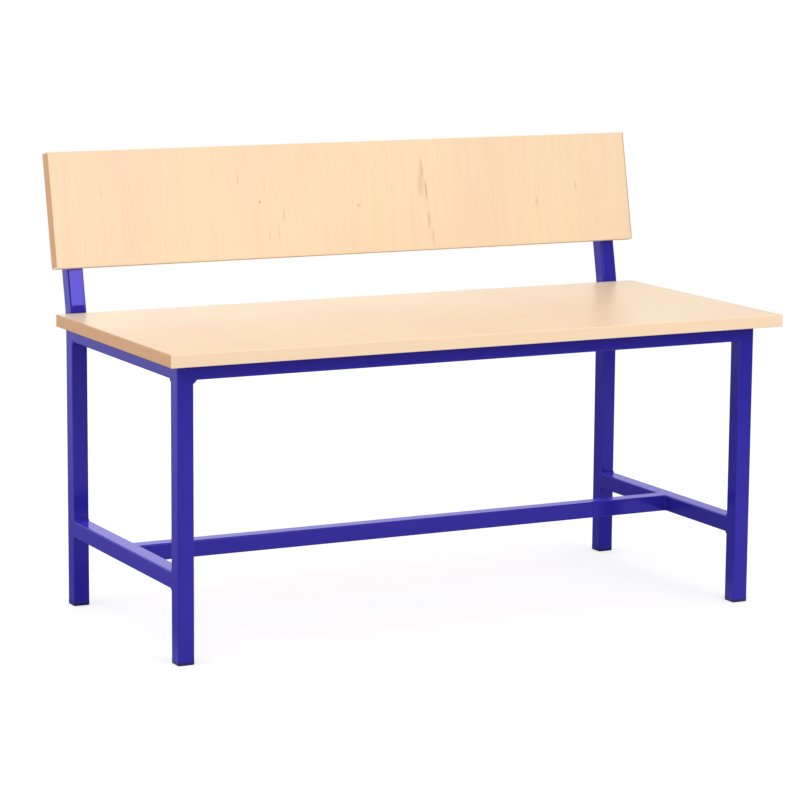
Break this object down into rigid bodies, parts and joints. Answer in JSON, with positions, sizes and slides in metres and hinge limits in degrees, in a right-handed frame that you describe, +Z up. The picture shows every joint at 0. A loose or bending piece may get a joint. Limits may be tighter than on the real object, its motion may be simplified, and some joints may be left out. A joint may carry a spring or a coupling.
{
  "type": "school bench",
  "caption": "Free-standing classroom bench: a flat maple-look seat board and a low leaning backrest board on a welded frame of violet-blue square tube with plastic feet.",
  "frame": {"origin": "on the floor, at the middle of the bench's outer box", "axes": "+X along the bench to the right of someone who looks at its front, +Y from the front to the back, +Z up"},
  "size_m": [1, 0.515, 0.6897],
  "materials": {
    "maple_faced_board": "melamine-faced chipboard in a pale maple decor, satin",
    "maple_edge_band": "plastic edge band in the board's decor, satin",
    "violet_blue_paint": "glossy violet-blue powder coat on steel tube",
    "dark_foot_plastic": "moulded dark plastic, slightly satin",
    "zinc_plated_steel": "bright zinc plating"
  },
  "bodies": {
    "root": {"backrest_band_bottom": "maple_edge_band", "backrest_band_left": "maple_edge_band", "backrest_band_right": "maple_edge_band", "backrest_band_top": "maple_edge_band", "backrest_core": "maple_faced_board", "backrest_screw_left_1": "zinc_plated_steel", "backrest_screw_left_2": "zinc_plated_steel", "backrest_screw_right_1": "zinc_plated_steel", "backrest_screw_right_2": "zinc_plated_steel", "foot_front_left": "dark_foot_plastic", "foot_front_right": "dark_foot_plastic", "foot_rear_left": "dark_foot_plastic", "foot_rear_right": "dark_foot_plastic", "front_leg_left": "violet_blue_paint", "front_leg_right": "violet_blue_paint", "long_stretcher": "violet_blue_paint", "rear_upright_left": "violet_blue_paint", "rear_upright_right": "violet_blue_paint", "seat_band_back": "maple_edge_band", "seat_band_front": "maple_edge_band", "seat_band_left": "maple_edge_band", "seat_band_right": "maple_edge_band", "seat_core": "maple_faced_board", "seat_screw_front_1": "zinc_plated_steel", "seat_screw_front_2": "zinc_plated_steel", "seat_screw_front_3": "zinc_plated_steel", "seat_screw_rear_1": "zinc_plated_steel", "seat_screw_rear_2": "zinc_plated_steel", "seat_screw_rear_3": "zinc_plated_steel", "side_stretcher_left": "violet_blue_paint", "side_stretcher_right": "violet_blue_paint", "top_rail_front": "violet_blue_paint", "top_rail_left": "violet_blue_paint", "top_rail_rear": "violet_blue_paint", "top_rail_right": "violet_blue_paint", "upright_cap_left": "dark_foot_plastic", "upright_cap_right": "dark_foot_plastic", "weld_front_rail_left": "violet_blue_paint", "weld_front_rail_right": "violet_blue_paint", "weld_long_stretcher_left_back": "violet_blue_paint", "weld_long_stretcher_left_front": "violet_blue_paint", "weld_long_stretcher_right_back": "violet_blue_paint", "weld_long_stretcher_right_front": "violet_blue_paint", "weld_rear_rail_left_back": "violet_blue_paint", "weld_rear_rail_left_front": "violet_blue_paint", "weld_rear_rail_right_back": "violet_blue_paint", "weld_rear_rail_right_front": "violet_blue_paint", "weld_side_rail_left_front": "violet_blue_paint", "weld_side_rail_left_rear": "violet_blue_paint", "weld_side_rail_right_front": "violet_blue_paint", "weld_side_rail_right_rear": "violet_blue_paint", "weld_side_stretcher_left_front_lower": "violet_blue_paint", "weld_side_stretcher_left_front_upper": "violet_blue_paint", "weld_side_stretcher_left_rear_lower": "violet_blue_paint", "weld_side_stretcher_left_rear_upper": "violet_blue_paint", "weld_side_stretcher_right_front_lower": "violet_blue_paint", "weld_side_stretcher_right_front_upper": "violet_blue_paint", "weld_side_stretcher_right_rear_lower": "violet_blue_paint", "weld_side_stretcher_right_rear_upper": "violet_blue_paint"}
  },
  "joints": []
}
